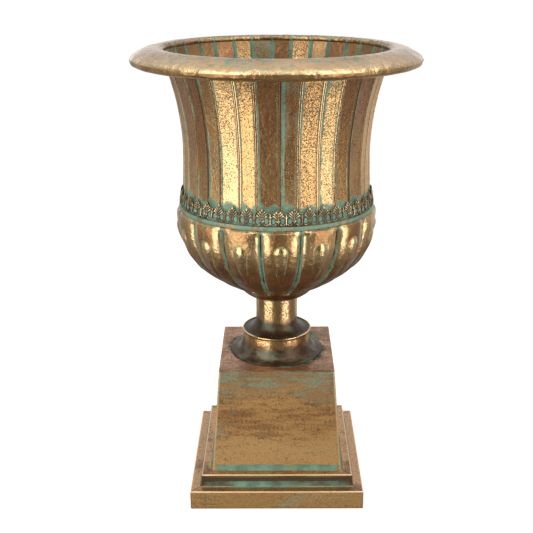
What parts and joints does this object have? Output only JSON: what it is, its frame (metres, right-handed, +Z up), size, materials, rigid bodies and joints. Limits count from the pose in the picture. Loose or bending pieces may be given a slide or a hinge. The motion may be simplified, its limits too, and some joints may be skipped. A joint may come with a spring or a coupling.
{
  "type": "urn vase on plinth",
  "caption": "Urn vase with a rolled rim, fluted wall, pierced palmette band and gadrooned bowl, on a collared stem over a stepped square plinth; holds flowers or a plant.",
  "frame": {"origin": "middle of the plinth's underside, on the surface that the urn stands on", "axes": "+Z up along the urn's axis, front towards -Y, +X to the right seen from the front"},
  "size_m": [0.23, 0.23, 0.3757],
  "materials": {
    "rim": "antique gold paint brushed with verdigris green",
    "wall": "antique gold paint, stippled dark, green along the ribs",
    "gallery": "rosy antique gold over dark brown",
    "bowl": "antique gold paint with green creases",
    "dish": "dark brown with a worn gold edge",
    "stem": "antique gold paint with a dark green foot",
    "collar": "antique gold paint with a bright worn rim",
    "plate": "copper paint with dark green smears",
    "plinth": "brushed antique gold and copper paint with green folds",
    "fixings": "plain zinc-plated steel"
  },
  "bodies": {
    "root": {"rim_ring": "rim", "fluted_wall": "wall", "gallery_band": "gallery", "bowl": "bowl", "bowl_dish": "dish", "stem": "stem", "collar": "collar", "plinth_plate": "plate", "plinth_side_front": "plinth", "plinth_side_right": "plinth", "plinth_side_back": "plinth", "plinth_side_left": "plinth", "tie_rod": "fixings", "bearing_plates": "fixings", "rod_nuts": "fixings"}
  },
  "joints": []
}
